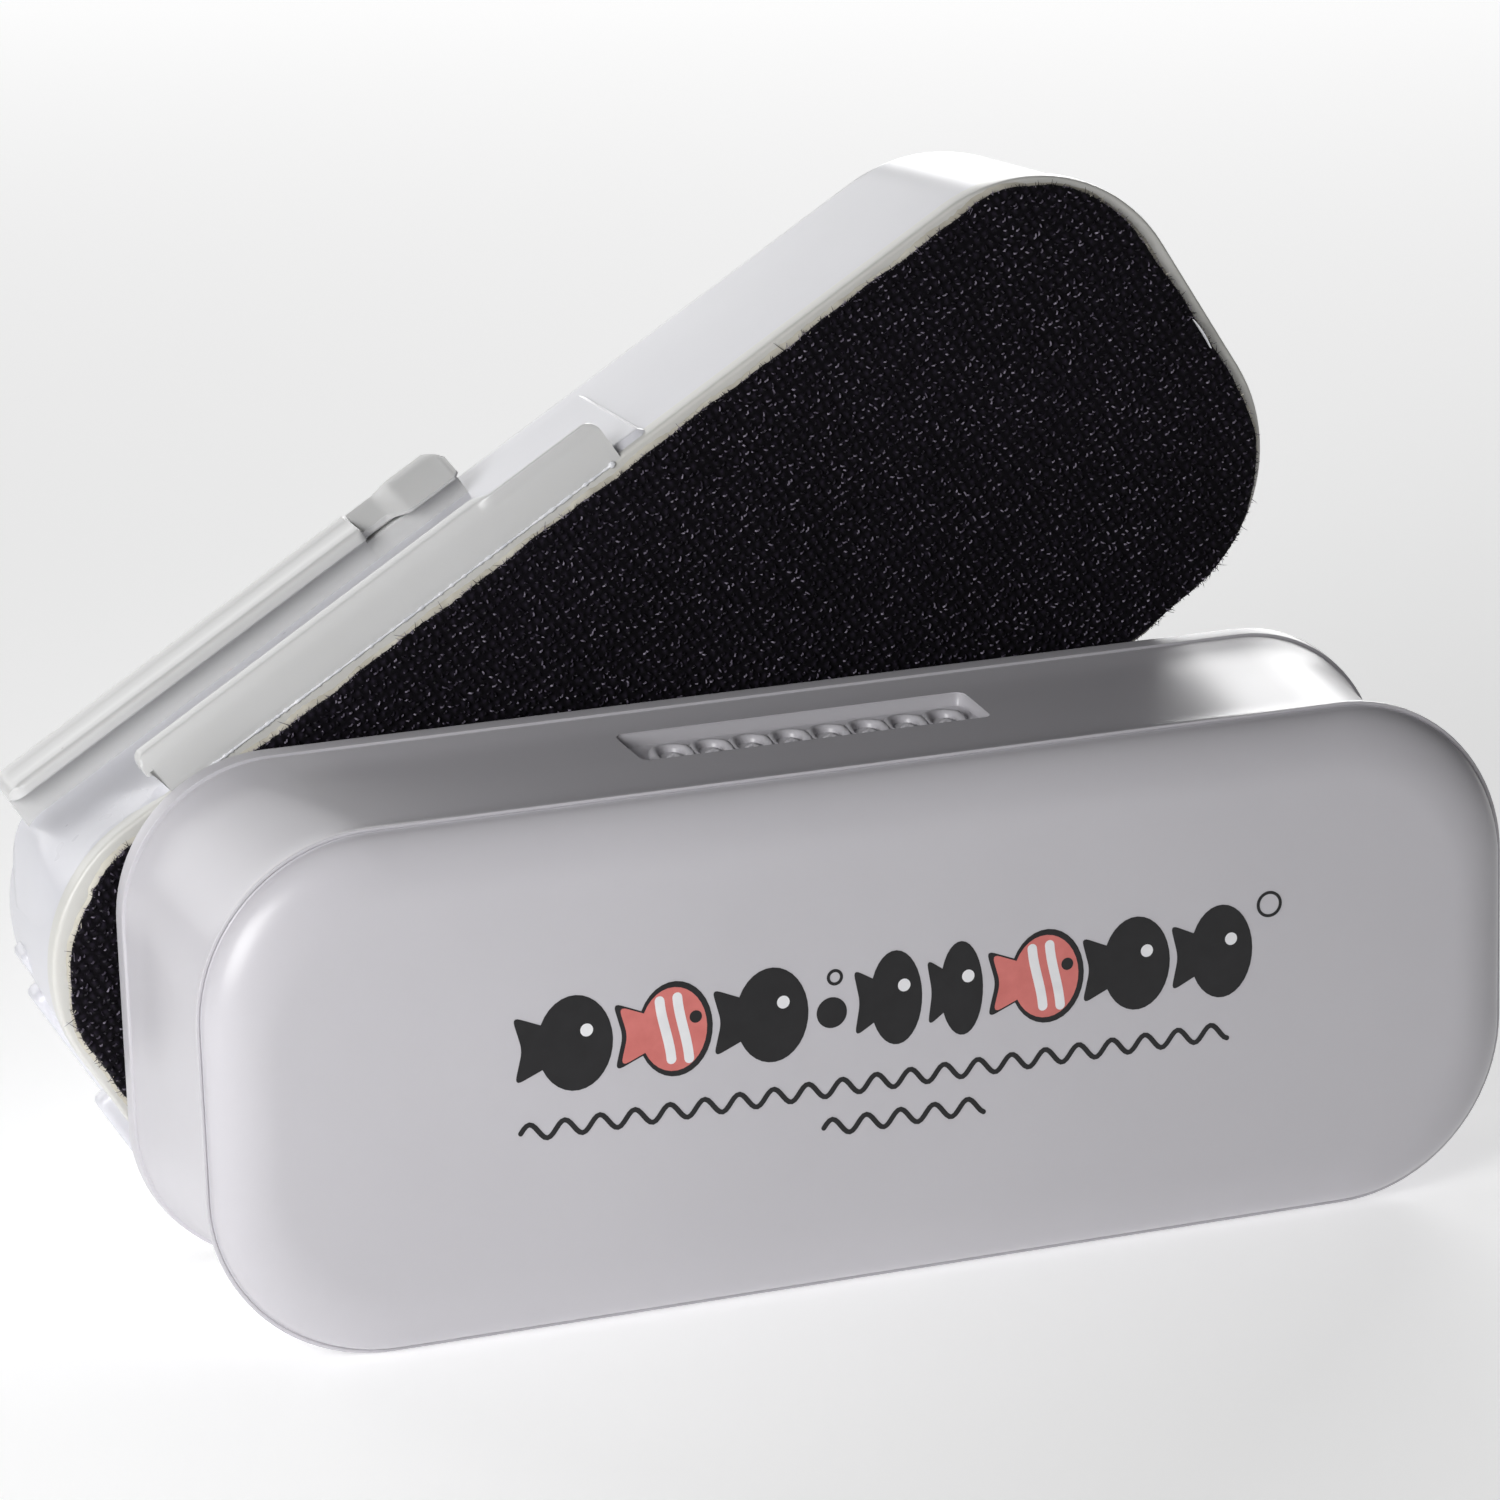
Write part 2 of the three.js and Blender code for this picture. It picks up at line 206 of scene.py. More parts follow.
# ---- materials ----
class Nodes:
    """A short hand for building one material's node tree."""

    def __init__(self, name):
        self.material = bpy.data.materials.new(name)
        self.material.use_nodes = True
        self.tree = self.material.node_tree
        self.shader = self.tree.nodes["Principled BSDF"]
        self.place = self.tree.nodes.new("ShaderNodeTexCoord").outputs["Object"]

    def feed(self, socket, value):
        """Links a socket to another node's output, or sets it to a plain value."""
        if isinstance(value, bpy.types.NodeSocket):
            self.tree.links.new(value, socket)
        else:
            socket.default_value = value

    def add(self, kind, inputs, **settings):
        node = self.tree.nodes.new(kind)
        for key, value in settings.items():
            setattr(node, key, value)
        for key, value in inputs.items():
            self.feed(node.inputs[key], value)
        return node

    def noise(self, scale, detail=3, roughness=0.5, vector=None):
        return self.add("ShaderNodeTexNoise", {
            "Vector": vector or self.place, "Scale": scale, "Detail": detail, "Roughness": roughness,
        }).outputs["Fac"]

    def ramp(self, value, stops):
        node = self.add("ShaderNodeValToRGB", {"Fac": value})
        ramp = node.color_ramp
        while len(ramp.elements) < len(stops):
            ramp.elements.new(0.5)
        for element, (position, colour) in zip(ramp.elements, stops):
            element.position = position
            element.color = (*colour, 1)
        return node.outputs["Color"]

    def span(self, value, low, high):
        """A 0 to 1 value moved into low to high."""
        return self.add("ShaderNodeMapRange", {
            "Value": value, "To Min": low, "To Max": high}).outputs["Result"]

    def math(self, operation, a, b=0.0):
        return self.add("ShaderNodeMath", {0: a, 1: b}, operation=operation).outputs[0]

    def mix(self, factor, a, b):
        return self.add("ShaderNodeMix", {0: factor, 6: a, 7: b}, data_type="RGBA").outputs[2]

    def cells(self, vector, scale):
        """Random cells: how far each place is from its cell's middle, and one random value per cell."""
        node = self.add("ShaderNodeTexVoronoi", {"Vector": vector, "Scale": scale}, feature="F1")
        lot = self.add("ShaderNodeSeparateColor", {"Color": node.outputs["Color"]}).outputs[0]
        return node.outputs["Distance"], lot

    def bump(self, height, distance, strength=1.0, normal=None):
        inputs = {"Height": height, "Distance": distance, "Strength": strength}
        if normal is not None:
            inputs["Normal"] = normal
        return self.add("ShaderNodeBump", inputs).outputs["Normal"]

    def set(self, **sockets):
        """Feeds the shader's own sockets, named with underscores for spaces."""
        for key, value in sockets.items():
            self.feed(self.shader.inputs[key.replace("_", " ")], value)
        return self.material


def rgb(*colour):
    """A colour given as 0 to 255 sRGB numbers, made linear."""
    return tuple(v / 255 / 12.92 if v <= 10 else ((v / 255 + 0.055) / 1.055) ** 2.4 for v in colour)


def moulded_plastic(name, light, dark, roughness, marked=0.12):
    """Satin moulding: faint clouding, a barely wavy skin, a few dark specks and short scratches.

    Marked is the share of the random cells that hold a speck or a scratch."""
    n = Nodes(name)
    colour = n.ramp(n.noise(28, 4, 0.55), [(0.3, dark), (0.7, light)])
    slanted = n.add("ShaderNodeMapping", {"Vector": n.place, "Rotation": (0.4, 0.7, 0.2),
                                          "Scale": (45, 190, 190)}).outputs["Vector"]
    specks = (n.place, 210.0, 0.04, 0.5)
    scratches = (slanted, 1.0, 0.045, 0.8)
    marks = 0
    for where, scale, size, brightness in (specks, scratches):
        distance, lot = n.cells(where, scale)
        chosen = n.math("GREATER_THAN", lot, 1 - marked)
        mark = n.math("MULTIPLY", n.math("LESS_THAN", distance, size), chosen)
        colour = n.mix(mark, colour, (*(v * brightness for v in dark), 1))
        marks = n.math("ADD", mark, marks)
    normal = n.bump(n.noise(60, 2), 0.00006, 0.35)
    normal = n.bump(n.noise(1500, 2), 0.000004, 0.5, normal)
    uneven = n.span(n.noise(45, 4, 0.6), roughness - 0.03, roughness + 0.04)
    dull = n.math("ADD", uneven, n.math("MULTIPLY", marks, 0.2))
    return n.set(Base_Color=colour, Roughness=dull, Normal=normal, IOR=1.48, Subsurface_Weight=0.04,
                 Subsurface_Radius=(0.004, 0.0035, 0.003), Subsurface_Scale=0.6)


def hook_cloth():
    """The ground weave under the hooks: near-black nylon with fine crossing threads."""
    n = Nodes("hook_cloth")
    turned = n.add("ShaderNodeMapping", {"Vector": n.place, "Rotation": (0, LEAN, 0)}).outputs["Vector"]
    warp, weft = (n.add("ShaderNodeTexWave", {
        "Vector": turned, "Scale": scale, "Distortion": waver, "Detail": 2.0, "Detail Scale": 2.5,
    }, bands_direction=run).outputs["Fac"] for run, scale, waver in (("X", 330.0, 1.6), ("Z", 300.0, 1.8)))
    weave = n.math("MULTIPLY", warp, weft)
    tone = n.math("ADD", n.math("MULTIPLY", weave, 0.7), n.math("MULTIPLY", n.noise(70, 3), 0.3))
    colour = n.ramp(tone, [(0.1, rgb(7, 5, 9)), (0.85, rgb(30, 25, 36))])
    normal = n.bump(weave, 0.00035, 0.9)
    normal = n.bump(n.noise(2600, 2), 0.00008, 0.5, normal)
    return n.set(Base_Color=colour, Roughness=n.span(weave, 0.95, 0.75), Normal=normal, Sheen_Weight=0.04,
                 Sheen_Roughness=0.5, Specular_IOR_Level=0.12)


def hook_nylon_painted_glints():
    """Single-filament hooks, glossier than the cloth: most nearly black, about a third painted grey as glints of
    light.
    """
    n = Nodes("hook_nylon_painted_glints")
    distance, lot = n.cells(n.place, 1350.0)
    # the grey and pale grey cells are painted glints: colour standing in for light caught on the filaments
    colour = n.ramp(lot, [(0.0, rgb(14, 11, 18)), (0.5, rgb(36, 31, 42)), (0.7, rgb(84, 77, 92)),
                          (0.95, rgb(136, 129, 144))])
    return n.set(Base_Color=colour, Roughness=n.span(n.noise(500, 1), 0.4, 0.6),
                 Normal=n.bump(n.noise(3000, 1), 0.00002, 0.4), Specular_IOR_Level=0.4)


def pressed_felt():
    n = Nodes("pressed_felt")
    mat = n.noise(420, 6, 0.75)
    lint = n.noise(1900, 4, 0.8)
    tone = n.math("ADD", n.math("MULTIPLY", mat, 0.6), n.math("MULTIPLY", lint, 0.4))
    colour = n.ramp(tone, [(0.35, rgb(28, 28, 31)), (0.7, rgb(62, 62, 67))])
    normal = n.bump(mat, 0.0005, 0.7)
    normal = n.bump(lint, 0.0002, 0.8, normal)
    return n.set(Base_Color=colour, Roughness=n.span(mat, 0.9, 1.0), Normal=normal, Sheen_Weight=0.5,
                 Sheen_Roughness=0.45, Specular_IOR_Level=0.2)


def printed_ink(name, colour, deep):
    n = Nodes(name)
    patchy = n.noise(650, 3)
    return n.set(Base_Color=n.ramp(patchy, [(0.3, deep), (0.7, colour)]),
                 Roughness=n.span(n.noise(300, 2), 0.34, 0.48), Normal=n.bump(patchy, 0.00001, 0.5))


def worn_metal(name, light, dark, roughness, metallic):
    """Metal or ferrite with a drawn-out grain along x."""
    n = Nodes(name)
    grain = n.add("ShaderNodeMapping", {"Vector": n.place, "Scale": (60, 1200, 1200)}).outputs["Vector"]
    streak = n.noise(1.0, 4, 0.6, grain)
    return n.set(Base_Color=n.ramp(streak, [(0.3, dark), (0.75, light)]), Metallic=metallic,
                 Roughness=n.span(n.noise(160, 4), roughness - 0.08, roughness + 0.12),
                 Normal=n.bump(streak, 0.00004, 0.5))


def tacky_film():
    """The pale film that bonds the pads."""
    n = Nodes("tacky_film")
    colour = n.ramp(n.noise(260, 4), [(0.3, rgb(178, 172, 158)), (0.7, rgb(208, 204, 192))])
    return n.set(Base_Color=colour, Roughness=n.span(n.noise(90, 3), 0.35, 0.6),
                 Normal=n.bump(n.noise(700, 3), 0.0001, 0.6))


def clear_weld():
    n = Nodes("clear_weld")
    colour = n.ramp(n.noise(500, 2), [(0.3, rgb(214, 216, 222)), (0.7, rgb(246, 247, 250))])
    return n.set(Base_Color=colour, Roughness=n.span(n.noise(400, 2), 0.16, 0.3),
                 Normal=n.bump(n.noise(900, 2), 0.00005, 0.5))


OUTER_PLASTIC = moulded_plastic("outer_plastic", rgb(200, 198, 203), rgb(196, 194, 199), 0.29, 0.03)
INNER_PLASTIC = moulded_plastic("inner_plastic", rgb(217, 217, 223), rgb(213, 213, 219), 0.28)
RIM_PLASTIC = moulded_plastic("rim_plastic", rgb(215, 214, 210), rgb(210, 209, 204), 0.3, 0.06)
RAIL_PLASTIC = moulded_plastic("rail_plastic", rgb(212, 212, 212), rgb(207, 207, 206), 0.28, 0.06)
TRAY_PLASTIC = moulded_plastic("tray_plastic", rgb(150, 152, 158), rgb(140, 142, 148), 0.5, 0.03)
HOOK_CLOTH = hook_cloth()
HOOK_NYLON_PAINTED_GLINTS = hook_nylon_painted_glints()
FELT = pressed_felt()
BLACK_INK = printed_ink("black_ink", rgb(22, 21, 24), rgb(14, 13, 16))
CORAL_INK = printed_ink("coral_ink", rgb(216, 122, 116), rgb(206, 112, 106))
WHITE_INK = printed_ink("white_ink", rgb(238, 238, 240), rgb(230, 230, 233))
FERRITE = worn_metal("ferrite", rgb(74, 72, 74), rgb(48, 46, 50), 0.5, 0.25)
PLATED = worn_metal("plated_steel", rgb(196, 198, 202), rgb(168, 170, 175), 0.32, 1.0)
FILM = tacky_film()
WELD = clear_weld()


# ---- outer half ----
BACK_WALL = 2.0                   # thickness behind the flat of the face and behind each half's back
WALL = 1.8                        # thickness of the inner half's side walls
BULGE_EDGE = 6.5                  # width of the face's rolled edge
LIP = 0.28                        # width of the flat lip outside the fine groove round the face
GROOVE = 0.2                      # width of that groove


def outer_front_cover():
    """The face: a thin lip at the widest line, then a soft roll up to the flat."""
    profile = rounded_path([
        (9.0, BACK_WALL - BULGE, 10, 0), (3.5, 0.2, 14, 1.5), (3.5, COVER_BACK, 14, 0),
        (0.5, COVER_BACK, 16.8, 0.2), (0.0, 0.7, 17, 0.2), (0.0, 0.0, 17, 0.1), (LIP, 0.0, 16.8, 0.05),
        (LIP + 0.1, 0.14, 16.7, 0),
    ], 4)
    for i in range(19):
        a = math.pi / 2 * i / 18
        inset = LIP + GROOVE + (BULGE_EDGE - LIP - GROOVE) * (1 - math.cos(a))
        profile.append((inset, -BULGE * math.sin(a), 17 - 0.6 * inset))
    profile.append((BULGE_EDGE + 1.5, -BULGE, 12))
    solid = shell_of(OUTER_W, OUTER_H, profile)
    make("front_cover", solid, OUTER_PLASTIC, "outer_half", ["outer_front_cover"])


def badge_cutter(low, high):
    """A rounded slab with a flared mouth, that sinks the badge into the top wall."""
    rings = []
    for grow, z in ((-0.25, low.z), (-0.1, low.z + 0.1), (0.0, low.z + 0.75), (0.3, low.z + 1.2), (0.3, low.z + 4)):
        ring = rounded_ring(high.x - low.x + 2 * grow, high.y - low.y + 2 * grow, 0.7 + max(grow, 0), 5)
        rings.append([((low.x + high.x) / 2 + x, (low.y + high.y) / 2 + y, z) for x, y in ring])
    return placed("badge_cutter", skin(rings), OUTER_AXES, 30)


BADGE_LOW = Vector((-16.9, 14.6, OUTER_H / 2 - 2.35))
BADGE_HIGH = Vector((18.1, 22.4, OUTER_H / 2))


def outer_case():
    """Side walls with a finger groove behind the lip and a thin rim flange at the back."""
    back = OUTER_D
    profile = rounded_path([
        (3.5, back - BACK_WALL, 13, 0), (3.5, COVER_BACK + 0.3, 14, 0), (0.75, COVER_BACK + 0.3, 17, 0.2),
        (1.0, 2.0, 17, 0.5), (1.8, 5.0, 16.9, 3.0), (1.5, 12, 16.3, 4), (1.0, back - 6, 15.4, 3),
        (0.38, back - 2.3, 15.1, 0.25), (0.42, back - 2.16, 15.1, 0), (0.17, back - 2.08, 15, 0.06),
        (0.02, back - 0.3, 15, 0.2), (0.25, back, 15, 0.12), (2.0, back, 13.5, 0),
    ], 5)
    solid = shell_of(OUTER_W, OUTER_H, profile)
    case = make("case", solid, OUTER_PLASTIC, "outer_half", ["outer_case"])
    cutter = badge_cutter(BADGE_LOW, BADGE_HIGH)
    sink = case.modifiers.new("badge", "BOOLEAN")
    sink.operation = "DIFFERENCE"
    sink.solver = "EXACT"
    sink.object = cutter
    apply_modifiers(case)
    bpy.data.objects.remove(cutter)
    case.data.shade_smooth()
    case.data.set_sharp_from_angle(angle=math.radians(32))


def apply_modifiers(piece):
    """Bakes a piece's modifiers into its mesh."""
    graph = bpy.context.evaluated_depsgraph_get()
    graph.update()
    baked = bpy.data.meshes.new_from_object(piece.evaluated_get(graph), depsgraph=graph)
    old = piece.data
    piece.modifiers.clear()
    piece.data = baked
    bpy.data.meshes.remove(old)


def ribbon(path, width, y0, y1):
    """A flat band of the given width along (x, z) points, with round ends, from y0 to y1."""
    path = [np.array(p, float) for p in path]
    left, right = [], []
    for i, here in enumerate(path):
        step = path[min(i + 1, len(path) - 1)] - path[max(i - 1, 0)]
        side = np.array((-step[1], step[0])) / np.linalg.norm(step) * width / 2
        left.append(here + side)
        right.append(here - side)

    def cap(end, start):
        arm = start - end
        turn = [math.pi * k / 8 for k in range(1, 8)]
        return [end + np.array((arm[0] * math.cos(a) - arm[1] * math.sin(a),
                                arm[0] * math.sin(a) + arm[1] * math.cos(a))) for a in turn]
    outline = right + cap(path[-1], right[-1]) + left[::-1] + cap(path[0], left[0])
    return slab(outline, y0, y1)


def slab(outline, y0, y1):
    """An (x, z) outline as a thin solid from y0 to y1."""
    return skin([[(x, y1, z) for x, z in outline], [(x, y0, z) for x, z in outline]])


def joined(parts):
    """Several (points, faces) lists as one."""
    points, faces = [], []
    for some_points, some_faces in parts:
        base = len(points)
        points += list(some_points)
        faces += [tuple(base + i for i in face) for face in some_faces]
    return points, faces


FACE = -BULGE
INK = 0.03                        # how far the print stands off the face


def fish_outline(x, z, length, height):
    """A plump fish: an ellipse whose end opens into a forked tail."""
    body = length * 0.38
    tail_at = 152                 # degrees round the ellipse, from the nose, where the tail begins
    steps = 28
    outline = []
    for i in range(steps + 1):
        a = math.radians(tail_at - 2 * tail_at * i / steps)
        outline.append((body * math.cos(a) + 0.12 * length, height / 2 * math.sin(a)))
    tip_x, tip_z = -0.5 * length, 0.36 * height
    tail = rounded_path([
        (*outline[-1], 0), (tip_x, -tip_z, 0.9), (tip_x + 0.09 * length, 0, 0.8), (tip_x, tip_z, 0.9),
        (*outline[0], 0),
    ], 5)
    outline += [tuple(p) for p in tail[1:-1]]
    return [(x + px, z + pz) for px, pz in outline]


def turns(steps):
    """Equal angles round a circle."""
    return [2 * math.pi * i / steps for i in range(steps)]


def disc(x, z, radius, y0, y1):
    """A flat round spot."""
    return slab([(x + radius * math.cos(a), z + radius * math.sin(a)) for a in turns(28)], y0, y1)


def ring_band(x, z, radius, width, y0, y1):
    """A flat ring, as a band that closes on itself."""
    across = ((radius, y0), (radius, y1), (radius - width, y1), (radius - width, y0))
    return skin([[(x + r * math.cos(a), y, z + r * math.sin(a)) for r, y in across] for a in turns(32)], closed=True)


def wave(x0, x1, z, height=1.5, pitch=3.4, per_pitch=12):
    """Points of a running wave."""
    steps = int((x1 - x0) / pitch * per_pitch)
    return [(x0 + (x1 - x0) * i / steps,
             z + height / 2 * math.sin(2 * math.pi * (x1 - x0) * i / steps / pitch)) for i in range(steps + 1)]


def front_print():
    """A generic print in the same inks: a row of fish and bubbles over two wave lines."""
    row = 3.4                     # height of the row's middle above the face's middle
    tall = 9.2
    rim = 1.1                     # how much smaller a coral body is than the black one under it
    near, far = FACE + 0.01, FACE - INK
    black, coral, white = [], [], []
    plain = ((-31.6, 9.6), (-12.4, 9.4), (0.2, 6.8), (6.9, 5.6), (24.2, 9.0), (33.0, 8.4))
    striped = ((-21.9, 9.6), (15.0, 9.8))
    for x, length in plain:
        black.append(slab(fish_outline(x, row, length, tall), far, near))
        white.append(disc(x + 0.24 * length, row + 0.12 * tall, 0.62, far - 0.01, near))
    for x, length in striped:
        black.append(slab(fish_outline(x, row, length, tall), far, near))
        coral.append(slab(fish_outline(x, row, length - rim, tall - rim), far - 0.01, near))
        for shift, span in ((0.02, 0.8), (0.2, 0.84)):
            band = [(x + shift * length + 0.5 * math.cos(math.pi * t / 12),
                     row + span * tall * 0.47 * (t / 6 - 1)) for t in range(1, 12)]
            white.append(ribbon(band, 0.95, far - 0.02, near))
        black.append(disc(x + 0.33 * length, row + 0.1 * tall, 0.6, far - 0.03, near))
    black.append(disc(-5.4, row - 0.6, 1.5, far, near))
    for x, z, radius in ((39.0, row + 4.0, 1.3), (-5.0, row + 2.8, 0.8)):
        black.append(ring_band(x, z, radius, 0.3, far, near))
    for x0, x1, z in ((-36, 34.5, -4.6), (-6.5, 9.5, -8.4)):
        black.append(ribbon(wave(x0, x1, z), 0.5, far, near))
    for name, parts, ink in (("print_black", black, BLACK_INK), ("print_coral", coral, CORAL_INK),
                             ("print_white", white, WHITE_INK)):
        make(name, joined(parts), ink, "outer_half")


def ridge(path, half, lift, floor):
    """A rounded ridge that follows (x, y) points over a floor and dips at both ends."""
    rings = []
    # each section point: sideways as a share of the half width, up as a share of the height
    section = ((-0.88, 0.5), (-0.45, 0.93), (0, 1), (0.45, 0.93), (0.88, 0.5))
    for i, here in enumerate(path):
        ahead = np.array(path[min(i + 1, len(path) - 1)]) - np.array(path[max(i - 1, 0)])
        side = np.array((-ahead[1], ahead[0])) / np.linalg.norm(ahead)
        end = min(i, len(path) - 1 - i) / 3
        top = lift * min(1.0, math.sqrt(end + 0.05))
        over = [(-1.0, -0.2), *((a, share * top) for a, share in section), (1.0, -0.2)]
        rings.append([(here[0] + side[0] * half * a, here[1] + side[1] * half * a, floor + h) for a, h in over])
    return skin(rings)


def badge_waves():
    """A plain row of raised crests on the badge's floor."""
    middle_y = (BADGE_LOW.y + BADGE_HIGH.y) / 2 - 0.2
    crests = 8
    margin_left, margins = 1.9, 3.4
    pitch = (BADGE_HIGH.x - BADGE_LOW.x - margins) / crests
    parts = []
    for k in range(crests):
        x = BADGE_LOW.x + margin_left + pitch * (k + 0.5)
        arc = [(x + 1.75 * math.cos(math.radians(a)), middle_y - 0.4 + 1.9 * math.sin(math.radians(a)))
               for a in range(190, -31, -13)]
        parts.append(ridge(arc, 0.55, 0.7, BADGE_LOW.z))
        swell = [(x - 0.75 + 1.5 * t / 6, middle_y - 1.5 + 0.5 * math.sin(math.pi * t / 6)) for t in range(7)]
        parts.append(ridge(swell, 0.45, 0.55, BADGE_LOW.z))
    make("badge_waves", joined(parts), OUTER_PLASTIC, "outer_half", sharp=60)


def felt_pad():
    """Dense felt with a soft cut edge and a slightly uneven face."""
    first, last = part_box("felt_pad")
    low = (OUTER_AXES.inverted() @ first).y
    high = (OUTER_AXES.inverted() @ last).y
    width = (last.x - first.x) / MM
    height = (last.z - first.z) / MM
    uneven = 0.03
    rings = []
    for inset, y in ((0.3, low), (0.02, low + 0.08), (0.0, low + 0.2), (0.08, high - 0.16), (0.3, high - 0.05),
                     (0.8, high), (2.0, high), (5.0, high)):
        ring = rounded_ring(width - 2 * inset, height - 2 * inset, 12.6 - min(inset, 3) * 0.7)
        rings.append([(x + random.uniform(-uneven, uneven), y - random.uniform(0, uneven),
                       z + random.uniform(-uneven, uneven)) for x, z in ring])
    pad = make("felt", skin(rings), FELT, "outer_half", ["felt_pad"], sharp=60)


# ---- inner half ----
TAPER = 1.45                      # how far the case's walls have leaned in at its back
SET_IN = 0.25                     # how far they stand inside the rim at its front
WALL_LEAN = TAPER - 0.35          # how much further in they are where the back edge begins to round
CORNER = 16.3                     # corner radius of the rim and the case
PLATE = 2.2                       # depth of the rim


def inner_base_plate():
    """The rim that shows round the pad, with a rounded bright edge and a fine seam to the case."""
    profile = rounded_path([
        (3.0, 0, 14.5, 0), (0, 0, CORNER, 0.45), (0, PLATE, CORNER, 0.12), (0.3, PLATE + 0.12, 16.1, 0),
        (3.0, PLATE + 0.12, 14.5, 0),
    ], 5)
    solid = shell_of(INNER_W, INNER_H, profile)
    make("base_plate", solid, RIM_PLASTIC, "inner_half", ["inner_base_plate"])


def inner_case():
    """The float's body: walls that lean in, a rounded back edge, open towards the plate."""
    front = PLATE + 0.16
    back = INNER_D
    profile = rounded_path([
        (TAPER + WALL, back - BACK_WALL, CORNER - WALL, 0), (SET_IN + WALL, front, CORNER - WALL, 0),
        (0.2, front, CORNER, 0.15), (TAPER - 0.1, back, CORNER, 2.6), (TAPER + 4, back, CORNER - 3.2, 0),
    ], 10)
    solid = shell_of(INNER_W, INNER_H, profile)
    make("float_case", solid, INNER_PLASTIC, "inner_half", ["inner_case"])


# The pad was cut by hand: its corners are short straight snips. Each key is x, z and a fillet radius.
PAD_CUT = (
    (-52.8, 22.5, 3), (53.8, 23.0, 2.5), (59.9, 19.6, 2), (63.7, 14.0, 3), (64.3, 3.0, 6), (64.6, -8.5, 4),
    (63.9, -13.8, 2.5), (60.0, -19.5, 3), (54.0, -23.4, 3), (45.0, -24.0, 5), (-48.0, -23.6, 5),
    (-58.0, -19.5, 4), (-64.2, -9.0, 4), (-64.7, 2.0, 6), (-64.6, 11.2, 3), (-60.0, 18.6, 4),
)


def pad_outline(step=0.35):
    """The cut outline as evenly spaced points, with the small unevenness of a blade."""
    keys = rounded_loop(PAD_CUT, 8)
    points = []
    for a, b in zip(keys, keys[1:] + keys[:1]):
        count = max(1, int(np.linalg.norm(b - a) / step))
        points += [a + (b - a) * k / count for k in range(count)]
    wobble = random.Random(3)
    phase = [wobble.uniform(0, 2 * math.pi) for _ in range(3)]
    out = []
    for i, here in enumerate(points):
        ahead = points[(i + 1) % len(points)] - points[i - 1]
        normal = np.array((-ahead[1], ahead[0])) / np.linalg.norm(ahead)
        along = i * step
        shift = 0.09 * math.sin(along / 2.9 + phase[0]) + 0.06 * math.sin(along / 1.1 + phase[1])
        out.append(here + normal * (shift + wobble.uniform(-0.05, 0.05)))
    return out


def inward(outline, distance):
    """An outline moved towards its middle, for a counter-clockwise or clockwise loop alike."""
    count = len(outline)
    area = sum(outline[i - 1][0] * outline[i][1] - outline[i][0] * outline[i - 1][1] for i in range(count))
    side = 1 if area > 0 else -1
    moved = []
    for i, here in enumerate(outline):
        ahead = outline[(i + 2) % count] - outline[i - 2]
        normal = np.array((-ahead[1], ahead[0])) / np.linalg.norm(ahead) * side
        moved.append(here + normal * distance)
    return moved


PAD_LOW, PAD_HIGH = inner_box("scrub_pad")


def scrub_pad(outline):
    """The pad's cloth, and the bonding film that is squeezed out a little all round it."""
    profile = ((0.1, PAD_HIGH.y), (0.0, PAD_HIGH.y - 0.15), (0.04, PAD_LOW.y + 0.5), (0.25, PAD_LOW.y + 0.32),
               (0.6, PAD_LOW.y + 0.28), (2.0, PAD_LOW.y + 0.28))
    rings = [[(x, y, z) for x, z in (inward(outline, inset) if inset else outline)] for inset, y in profile]
    pad = make("scrub_cloth", skin(rings), HOOK_CLOTH, "inner_half", ["scrub_pad"], sharp=70)
    squeezed = []
    for i, (edge, inner_edge) in enumerate(zip(outline, inward(outline, 0.5))):
        out = (edge - inner_edge) / np.linalg.norm(edge - inner_edge)
        reach = 0.3 + 0.12 * math.sin(i / 9) + 0.1 * math.sin(i / 3.7) + random.uniform(-0.05, 0.05)
        squeezed.append((edge + out * reach, edge + out * (reach - 0.12)))
    solid = skin([[(x, -0.005, z) for (x, z), _ in squeezed], [(x, -0.07, z) for _, (x, z) in squeezed],
                  [(x, PAD_HIGH.y - 0.02, z) for x, z in inward(outline, 0.2)]])
    make("pad_film", solid, FILM, "inner_half", ["scrub_bonding_film"], sharp=70)


def inside(outline, xs, zs):
    """Which of many points lie inside a closed outline."""
    loop = np.array(outline)
    hit = np.zeros(len(xs), bool)
    for (x0, z0), (x1, z1) in zip(loop, np.roll(loop, -1, axis=0)):
        crosses = (z0 > zs) != (z1 > zs)
        with np.errstate(divide="ignore", invalid="ignore"):
            at = (x1 - x0) * (zs - z0) / (z1 - z0) + x0
        hit ^= crosses & (xs < at)
    return hit


